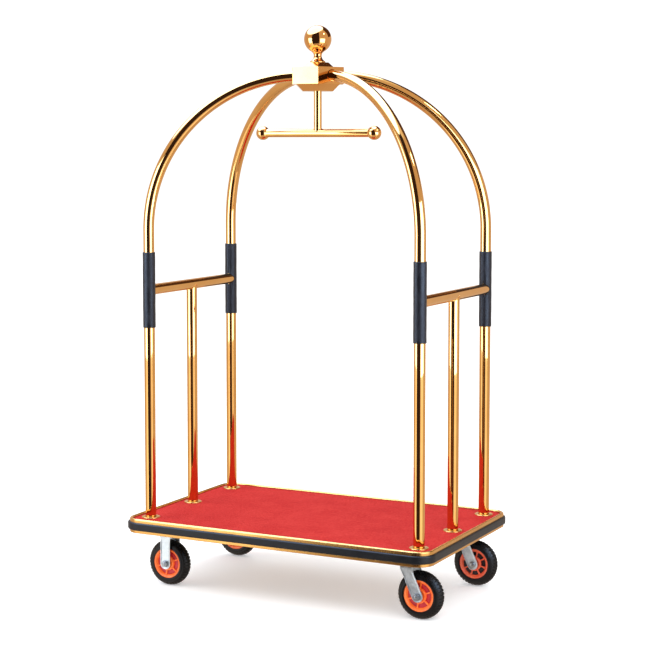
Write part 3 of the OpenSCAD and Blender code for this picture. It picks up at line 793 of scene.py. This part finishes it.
def make_hanger():
    bar_z = middle("hanger_bar").z
    bar_r = extent("hanger_bar").z / 2
    stem_top = highest("hanger_stem")
    stem_r = stem_top.x
    piece("hanger_stem_tube", spun([(stem_r, bar_z), (stem_r, stem_top.z)]), gold, "cart",
          "hanger_stem")
    ball_r = extent("hanger_bar_balls").z / 2
    ball_x = highest("hanger_bar_balls").x - ball_r
    piece("hanger_rail", spun([(bar_r, -ball_x), (bar_r, ball_x)]), gold, "cart",
          "hanger_bar", matrix=at(0, 0, bar_z) @ turned(90, "Y"))
    weld("hanger_weld", 72, stem_r, 0.001,
         lambda t: bar_z + sqrt(bar_r ** 2 - (stem_r * sin(t)) ** 2), 1)
    collar_r = 0.0016
    collar = arc(bar_r - 0.0004, 0, collar_r, 90, -90, 6)
    collar += arc(bar_r - 0.0004, 0, collar_r, -90, -270, 4)[1:-1]
    for name, side in SIDES.items():
        piece(f"hanger_end_ball_{name}", spun(ball(ball_r, 48, 0.005)), gold, "cart",
              "hanger_bar_balls" if side < 0 else None, 80, at(side * ball_x, 0, bar_z))
        piece(f"hanger_collar_{name}", spun(collar, 72, closed=True), gold, "cart",
              matrix=at(side * (ball_x - ball_r * 0.71), 0, bar_z) @ turned(90, "Y"))


# ---- casters


def wheel_matrix(sx, sy):
    lean = TRAIL if sx > 0 else 0
    return at(sx * CASTER_X + lean, sy * CASTER_Y, WHEEL_R) @ turned(-90 * sy, "X")


def step_up(value, low, high):
    """Smooth step from 0 at low to 1 at high."""
    t = min(max((value - low) / (high - low), 0.0), 1.0)
    return t * t * (3 - 2 * t)


def tread_cut(phase, tilt, right):
    """How deep the tread is cut, from 0 to 1: lugs on both shoulders, two ring grooves and
    notches in the centre rib. Phase counts lugs and tilt is in degrees from the centre."""
    if tilt >= 58:
        return 0.0
    skew = 0.18 * sin(radians(tilt * 2))
    slot = abs(((phase + (0.5 if right else 0.0) + skew) % 1.0) - 0.5)
    lug = 1 - step_up(slot, 0.10, 0.17)
    lug *= step_up(tilt, 9, 12) * (1 - step_up(tilt, 52, 57))
    groove = 1 - step_up(abs(tilt - 10.5), 1.8, 3.6)
    notch = (1 - step_up(abs((phase % 1.0) - 0.5), 0.07, 0.13)) * (1 - step_up(tilt, 5, 9))
    return max(lug, groove * 0.8, notch * 0.6)


def sidewall(tilt):
    """Height of the sidewall's two raised rings and the fine groove between them."""
    wall = 0.0004 * (1 - step_up(abs(tilt - 66), 0.8, 2.2))
    wall -= 0.0005 * (1 - step_up(abs(tilt - 72), 1, 2.4))
    wall += 0.0003 * (1 - step_up(abs(tilt - 84), 1.5, 4))
    return min(wall, 0.0003)


def make_tyre(name, sx, sy):
    """Round section with a cut tread and ringed sidewalls."""
    section = min(TYRE_W / 2, WHEEL_R - RIM_R)
    centre = WHEEL_R - section
    lugs = 40
    per_lug = 14
    depth = 0.0028
    around = turns(lugs * per_lug)
    limit = acos((RIM_R - centre) / section)
    rings = []
    for a in np.linspace(-limit, limit, 67):
        tilt = degrees(abs(a))
        wall = sidewall(tilt)
        ring = []
        for i, t in enumerate(around):
            r = section - depth * tread_cut(i / per_lug, tilt, a > 0) + wall
            reach = centre + r * cos(a)
            ring.append((reach * cos(t), reach * sin(t), r * sin(a)))
        rings.append(ring)
    seat_r = RIM_R - 0.002
    for z in (0.018, -0.018):
        rings.append([(seat_r * cos(t), seat_r * sin(t), z) for t in around])
    bm = bmesh.new()
    loft(bm, rings, along=True)
    piece(f"tyre_tread_{name}", bm, tyre_rubber, f"wheel_{name}", f"tyre_{name}", 28,
          wheel_matrix(sx, sy))


def ring_section(r_in, r_out, half, fillet):
    """Closed profile of a ring with rounded edges."""
    return (arc(r_out - fillet, half - fillet, fillet, 0, 90, 2)
            + arc(r_in + fillet, half - fillet, fillet, 90, 180, 2)
            + arc(r_in + fillet, -half + fillet, fillet, 180, 270, 2)
            + arc(r_out - fillet, -half + fillet, fillet, 270, 360, 2))


def make_rim(name, sx, sy):
    """Barrel with sloping lips, hub, backing disc and ribs. The back right rim has spokes
    over a black disc, painted shade that stands for the dark hollow behind them; the others ribs
    over a red one."""
    spoked = name == "back_right"
    colour = vermilion if spoked else orange
    body = f"wheel_{name}"
    place = wheel_matrix(sx, sy)
    half = TYRE_W / 2 - 0.0025
    barrel_r = RIM_R + 0.0004
    lip_r = 0.0386
    hub_r = 0.0240
    recess_r = 0.0175
    bush_r = 0.011
    pocket = 0.0085
    edge = 0.0016
    profile = arc(barrel_r - edge, half - edge, edge, 0, 90, 4)
    profile += [(0.0450, half), (0.0440, half - 0.0009), (0.0396, half - 0.0058),
                (lip_r, half - 0.0074)]
    piece(f"rim_barrel_{name}", spun(mirrored(profile), 120, closed=True), colour, body,
          f"rim_{name}", 45, place)

    face = half + 0.0010
    profile = arc(hub_r - 0.0015, face - 0.0015, 0.0015, 0, 90, 4)
    profile += arc(recess_r + 0.001, face - 0.001, 0.001, 90, 180, 3)
    profile += [(recess_r, face - 0.004), (bush_r, face - 0.004)]
    piece(f"rim_hub_{name}", spun(mirrored(profile), closed=True), colour, body,
          crease=45, matrix=place)

    profile = ring_section(hub_r - 0.001, lip_r + 0.001, half - pocket, 0.0004)
    # On the back right rim the black disc is painted shade for the hollow behind the spokes.
    piece(f"rim_web_{name}", spun(profile, closed=True), black_plastic if spoked else crimson,
          body, matrix=place)

    arms, thick, flare = (8, 0.0015, 1.2) if spoked else (6, 0.0017, 0.2)
    inner = hub_r - 0.0015
    outer = lip_r + 0.0015
    h = half - 0.0032
    bm = bmesh.new()
    for i in range(arms):
        spoke = bmesh.new()
        rings = []
        for u in np.linspace(0, 1, 7):
            x = inner + (outer - inner) * u
            w = thick * (1 + flare * u ** 3 + 0.4 * (1 - u) ** 3)
            rings.append([(x, -w, -h), (x, w, -h), (x, w, h), (x, -w, h)])
        loft(spoke, rings)
        round_edges(spoke, 0.0008, 2, 60)
        spoke.transform(Matrix.Rotation(2 * pi * (i + 0.35) / arms, 4, "Z"))
        mesh = to_mesh("spoke", spoke)
        bm.from_mesh(mesh)
        bpy.data.meshes.remove(mesh)
    piece(f"rim_ribs_{name}", bm, colour, body, crease=40, matrix=place)


def fork_rows(top_z, lean):
    """Rows across one half of a fork, from the middle of its crown to the tip of one leg.
    Each row is its centre, its direction, its outward normal, its half width and how much
    of the leg's raised edge it has."""
    bend = 0.008
    flat = Vector((1, 0, 0))
    half_w = FORK_TOP_W / 2
    rows = []
    for y in np.linspace(0, LEG_MID - bend, 7):
        rows.append((Vector((0, y, top_z)), flat, Vector((0, 0, 1)), half_w, 0.0))
    for i in range(1, 9):
        a = radians(90 * i / 8)
        centre = Vector((0, LEG_MID - bend + bend * sin(a), top_z - bend + bend * cos(a)))
        rows.append((centre, flat, Vector((0, sin(a), cos(a))), half_w, 0.0))
    start = Vector((0, LEG_MID, top_z - bend))
    axle = Vector((lean, LEG_MID, WHEEL_R))
    down = (axle - start).normalized()
    across = Vector((-down.z, 0, down.x))
    outward = Vector((0, 1, 0))
    for i in range(1, 27):
        u = i / 26
        width = half_w + (LEG_R - half_w) * step_up(u, 0.0, 0.30)
        direction = flat.lerp(across, step_up(u, 0.0, 0.7)).normalized()
        rows.append((start.lerp(axle, u), direction, outward, width, step_up(u, 0.05, 0.3)))
    for i in range(1, 13):
        a = radians(90 * i / 12)
        width = max(LEG_R * cos(a), 0.0002)
        rows.append((axle + down * LEG_R * sin(a), across, outward, width, 1.0))
    return rows, axle


def make_fork(name, sx, sy, swivel):
    """Pressed U shaped fork: one sheet with raised edges down both legs."""
    top_z = (SWIVEL_CROWN_Z + CROWN_T if swivel else PLATE_Z) - FORK_T / 2
    rows, axle = fork_rows(top_z, TRAIL if swivel else 0.0)
    columns = 25
    raised = 0.0011
    halves = []
    for half in (-1, 1):
        lines = []
        for centre, direction, normal, width, legness in rows:
            line = []
            for j in range(columns):
                t = -cos(pi * j / (columns - 1))
                point = centre + direction * (t * width)
                if (centre - axle).length < LEG_R and centre.z < axle.z:
                    inside = LEG_R - (point - axle).length
                else:
                    inside = (1 - abs(t)) * width
                lift = raised * legness * (1 - step_up(inside, 0.0022, 0.0045))
                point = point + normal * (lift - raised / 2 * legness)
                line.append((point.x, point.y * half, point.z))
            lines.append(line)
        halves.append(lines)
    bm = bmesh.new()
    loft(bm, list(reversed(halves[0])) + halves[1][1:], around=False, caps=False)
    fork = piece(f"fork_{name}", bm, zinc, f"swivel_{name}" if swivel else "cart",
                 f"swivel_fork_{name}" if swivel else f"fixed_fork_{name}", 50,
                 at(sx * CASTER_X, sy * CASTER_Y))
    shell = fork.modifiers.new("sheet", "SOLIDIFY")
    shell.thickness = FORK_T - raised
    shell.offset = 0
    edge = fork.modifiers.new("edge", "BEVEL")
    edge.width = 0.0005
    edge.segments = 2
    edge.limit_method = "ANGLE"
    edge.angle_limit = radians(50)
    apply_modifiers(fork, 40)


def make_plate(name, sx, sy, swivel):
    """Top plate with rounded corners, and on a swivel caster its two pressed ball races, all in zinc
    darkened with painted shade for the shade under the deck.
    """
    place = at(sx * CASTER_X, sy * CASTER_Y)
    bm = bmesh.new()
    prism(bm, rounded_outline(0.100, 0.084, 0.010), PLATE_Z, FRAME_Z)
    round_edges(bm, 0.0007, 2, 60)
    piece(f"caster_plate_{name}", bm, shade_darkened_zinc, "cart",
          f"swivel_plate_{name}" if swivel else None, matrix=place)
    if not swivel:
        return
    race_r = 0.0345
    race_z = PLATE_Z - 0.008
    skirt_z = race_z - 0.0052
    profile = [(0.012, PLATE_Z), (race_r, PLATE_Z)]
    profile += arc(race_r - 0.0025, PLATE_Z - 0.0035, 0.0025, 60, 0, 4)
    profile += [(0.032, skirt_z)] + arc(0.0310, skirt_z, 0.0009, 0, -180, 5)
    profile += [(0.0298, race_z - 0.001), (0.0285, race_z), (0.012, race_z)]
    piece(f"ball_race_{name}", spun(profile, closed=True), shade_darkened_zinc, "cart", matrix=place)
    bore = 0.0064
    low = SWIVEL_CROWN_Z + 0.0004
    top = SWIVEL_CROWN_Z + CROWN_T
    profile = [(bore, low), (0.0295, low)] + arc(0.0295, top - 0.0010, 0.0010, 0, 90, 4)
    profile += [(0.0185, top), (0.0165, top + 0.0030), (0.0155, top + 0.0072), (bore, top + 0.0072)]
    piece(f"lower_race_{name}", spun(profile, closed=True), shade_darkened_zinc, f"swivel_{name}",
          matrix=place)


def make_axle(name, sx, sy, body):
    """Axle bolt: domed head inside, washer, hex nut and thread end outside."""
    place = wheel_matrix(sx, sy)
    r = 0.006
    head = -LEG_OUT
    end = LEG_OUT + 0.008
    thread = ((-0.0012, 0), (-0.0005, 0), (0, 0.0005), (-0.0005, 0.0010), (0, 0.0015),
              (-0.0005, 0.0017), (-0.0012, 0.0020))
    bm = bmesh.new()
    profile = [(0.0004, head - 0.0052)] + arc(0, head + 0.0115, 0.0167, -88, -52, 8)
    profile += [(0.0104, head - 0.0008), (0.0104, head), (r, head + 0.0005), (r, end)]
    lathe(bm, profile, 64)
    lathe(bm, [(r + out, end + rise) for out, rise in thread], 48)
    piece(f"axle_bolt_{name}", bm, bolt_steel, body, f"axle_{name}", 40, place)
    washer_half = 0.0007
    profile = ring_section(r + 0.0002, 0.0118, washer_half, 0.0002)
    piece(f"axle_washer_{name}", spun(profile, 64, closed=True), bolt_steel, body,
          matrix=place @ at(0, 0, LEG_OUT + washer_half))
    bm = bmesh.new()
    hexagon(bm, r * 1.72, LEG_OUT + 2 * washer_half, LEG_OUT + 0.0082)
    piece(f"axle_nut_{name}", bm, bolt_steel, body, crease=25, matrix=place)


def make_caster_bolts():
    """Four bolts with washers under each plate, all of them for the one CAD node."""
    step_x = 0.036
    step_y = 0.028
    washer_z = PLATE_Z - 0.0013
    for name, (sx, sy) in CORNERS.items():
        for index, (bx, by) in enumerate(((-1, -1), (-1, 1), (1, -1), (1, 1))):
            first = name == "front_left" and index == 0
            bm = bmesh.new()
            hexagon(bm, 0.0075, PLATE_Z - 0.0055, PLATE_Z - 0.0012)
            lathe(bm, [(0.0004, washer_z), (0.0086, washer_z), (0.0086, PLATE_Z),
                       (0.0004, PLATE_Z)], 48)
            piece(f"plate_bolt_{name}_{index + 1}", bm, bolt_steel, "cart",
                  "caster_bolts" if first else None, 25,
                  at(sx * CASTER_X + bx * step_x, sy * CASTER_Y + by * step_y))


def make_casters():
    for name, (sx, sy) in CORNERS.items():
        swivel = sx > 0
        make_tyre(name, sx, sy)
        make_rim(name, sx, sy)
        make_fork(name, sx, sy, swivel)
        make_plate(name, sx, sy, swivel)
        make_axle(name, sx, sy, f"swivel_{name}" if swivel else "cart")
    make_caster_bolts()


# ---- CAD nodes that are shown as they are


def paint(material, *nodes):
    for node in nodes:
        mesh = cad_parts[node].data
        mesh.materials.clear()
        mesh.materials.append(material)


def paint_frame_nodes():
    paint(powder_coat, "base_frame")
    paint(plywood, "deck_board")
    paint(bolt_steel, "post_bolts", "post_plugs", "arch_spigots", "crown_screws", "tie_rod",
          "kingpins", "swivel_bearings")
    paint(black_plastic, *[f"hub_bush_{name}" for name in CORNERS])


# ---- stage, light and camera


CAMERA_TURN = radians(26.967)
CAMERA_PITCH = radians(4.406)
CAMERA_DISTANCE = 5.607
CAMERA_SIDE = 0.0154
CAMERA_HEIGHT = 1.474
CAMERA_LENS = 95.51
CAMERA_SHIFT = -0.078
WALL_R = 6.0
WINDOW_R = 2.2
GROUND_Z = -3.0
ROOM_Z = 12.0
BROWN_Z = 3.0
WINDOW_FOOT = -1.0
WINDOW_Z = 0.65
CEILING_Z = 4.6


def emitter(name, color, strength):
    material = bpy.data.materials.new(name)
    material.use_nodes = True
    tree = material.node_tree
    tree.nodes.clear()
    glow = tree.nodes.new("ShaderNodeEmission")
    glow.inputs["Color"].default_value = (*color, 1)
    glow.inputs["Strength"].default_value = strength
    out = tree.nodes.new("ShaderNodeOutputMaterial")
    tree.links.new(glow.outputs["Emission"], out.inputs["Surface"])
    return material


def show_card(name, bm, material):
    """Shows a card only in shiny surfaces, so that it lights and shades nothing else."""
    card = show(name, to_mesh(name, bm, material))
    card.visible_camera = False
    card.visible_diffuse = False
    card.visible_shadow = False


def curved_card(name, start, end, low, high, radius, material):
    """A card that stands round the cart. Its angles are measured from the camera's
    direction, positive to the camera's right."""
    rows = []
    for z in (low, high):
        row = []
        for i in range(25):
            a = CAMERA_TURN + radians(start + (end - start) * i / 24)
            row.append((radius * sin(a), -radius * cos(a), z))
        rows.append(row)
    bm = bmesh.new()
    loft(bm, rows, around=False, caps=False)
    show_card(name, bm, material)


def round_card(name, x, y, z, radius, material):
    bm = bmesh.new()
    bm.faces.new([bm.verts.new((x + radius * cos(a), y + radius * sin(a), z)) for a in turns(48)])
    show_card(name, bm, material)


def make_reflections():
    """The room that the polished tubes mirror: a dark side behind the camera, tan walls,
    a bright window to the left and right, a ceiling light and a pale ground."""
    dark = emitter("dark_card", (0.045, 0.028, 0.028), 1.0)
    brown = emitter("brown_card", (0.100, 0.050, 0.030), 1.0)
    tan = emitter("tan_card", (1.0, 0.84, 0.72), 0.80)
    cream = emitter("cream_card", (1.0, 0.96, 0.92), 1.5)
    pale = emitter("pale_card", (1.0, 1.0, 1.0), 2.5)
    white = emitter("white_card", (0.55, 0.72, 1.0), 7.5)
    sky = emitter("sky_card", (0.46, 0.62, 1.0), 7.5)
    for name, first, last, low, high, radius, card in (
            ("wall_front", -52, 13, GROUND_Z, ROOM_Z, WALL_R, dark),
            ("wall_right", 13, 98, GROUND_Z, ROOM_Z, WALL_R, tan),
            ("wall_right_low", 98, 170, GROUND_Z, BROWN_Z, WALL_R, tan),
            ("wall_right_high", 98, 170, BROWN_Z, ROOM_Z, WALL_R, brown),
            ("wall_back", 170, 308, GROUND_Z, ROOM_Z, WALL_R, tan),
            ("window_left_foot", -84, -58, WINDOW_FOOT, WINDOW_Z, WINDOW_R, cream),
            ("window_left_strip", -58, -51.5, WINDOW_FOOT, WINDOW_Z, WINDOW_R, pale),
            ("window_left", -82, -51.5, WINDOW_Z, 2.05, WINDOW_R, white),
            ("window_right_foot", 20, 60, WINDOW_FOOT, WINDOW_Z, WINDOW_R, cream),
            ("window_right", 21, 63, WINDOW_Z, 1.85, WINDOW_R, white)):
        curved_card(name, first, last, low, high, radius, card)
    round_card("ground", 0, 0, GROUND_Z, WALL_R, emitter("ground_card", (1.0, 0.82, 0.70), 0.72))
    round_card("ceiling", -2.1, -0.2, CEILING_Z, 3.3, sky)
    round_card("glint", 3.7, 0, CEILING_Z, 0.45, emitter("glint_card", (0.85, 0.90, 1.0), 20.0))


def make_floor():
    """Plain floor, left out of reflections so that the room's cards show instead."""
    shine = Look("floor_paint", {
        "Base Color": (0.93, 0.93, 0.93, 1), "Emission Color": (0.93, 0.95, 1.0, 1),
        "Emission Strength": 0.30, "Roughness": 0.9, "Specular IOR Level": 0.1})
    bm = bmesh.new()
    bmesh.ops.create_grid(bm, x_segments=1, y_segments=1, size=30.0)
    floor = show("studio_floor", to_mesh("studio_floor", bm, shine.material))
    floor.visible_glossy = False


def area_light(name, place, aim_z, size, power):
    """Round soft light aimed at the cart's upright axis, itself left out of reflections."""
    light = bpy.data.lights.new(name, "AREA")
    light.shape = "DISK"
    light.size = size
    light.energy = power
    obj = show(name, light)
    obj.location = place
    aim = Vector((0, 0, aim_z)) - Vector(place)
    obj.rotation_euler = aim.to_track_quat("-Z", "Y").to_euler()
    obj.visible_glossy = False


def make_stage():
    world = bpy.data.worlds.new("studio")
    world.use_nodes = True
    background = world.node_tree.nodes["Background"]
    background.inputs["Color"].default_value = (1, 1, 1, 1)
    background.inputs["Strength"].default_value = 1.12
    bpy.context.scene.world = world
    make_floor()
    make_reflections()
    area_light("key_light", (2.6, -2.6, 3.6), 0.7, 2.2, 70)
    area_light("fill_light", (-3.4, -1.6, 2.6), 0.8, 2.4, 45)
    area_light("back_light", (-1.5, 3.4, 3.2), 0.9, 2.2, 40)


def make_camera():
    camera = bpy.data.cameras.new("camera")
    camera.lens = CAMERA_LENS
    camera.sensor_width = 36.0
    camera.shift_y = CAMERA_SHIFT
    camera.clip_end = 200
    obj = show("camera", camera)
    back = Vector((sin(CAMERA_TURN), -cos(CAMERA_TURN), 0))
    right = Vector((cos(CAMERA_TURN), sin(CAMERA_TURN), 0))
    obj.location = back * CAMERA_DISTANCE + right * CAMERA_SIDE + Vector((0, 0, CAMERA_HEIGHT))
    obj.rotation_euler = (pi / 2 - CAMERA_PITCH, 0, CAMERA_TURN)
    bpy.context.scene.camera = obj
    bpy.context.scene.view_settings.view_transform = "Standard"


make_posts()
make_crossbars()
make_arches()
make_flanges()
for grip_name, (grip_x, grip_y) in CORNERS.items():
    make_grip(grip_name, grip_x, grip_y)
make_trim()
make_bumper()
make_carpet_piece()
make_crown()
make_finial()
make_hanger()
make_casters()
paint_frame_nodes()
make_stage()
make_camera()
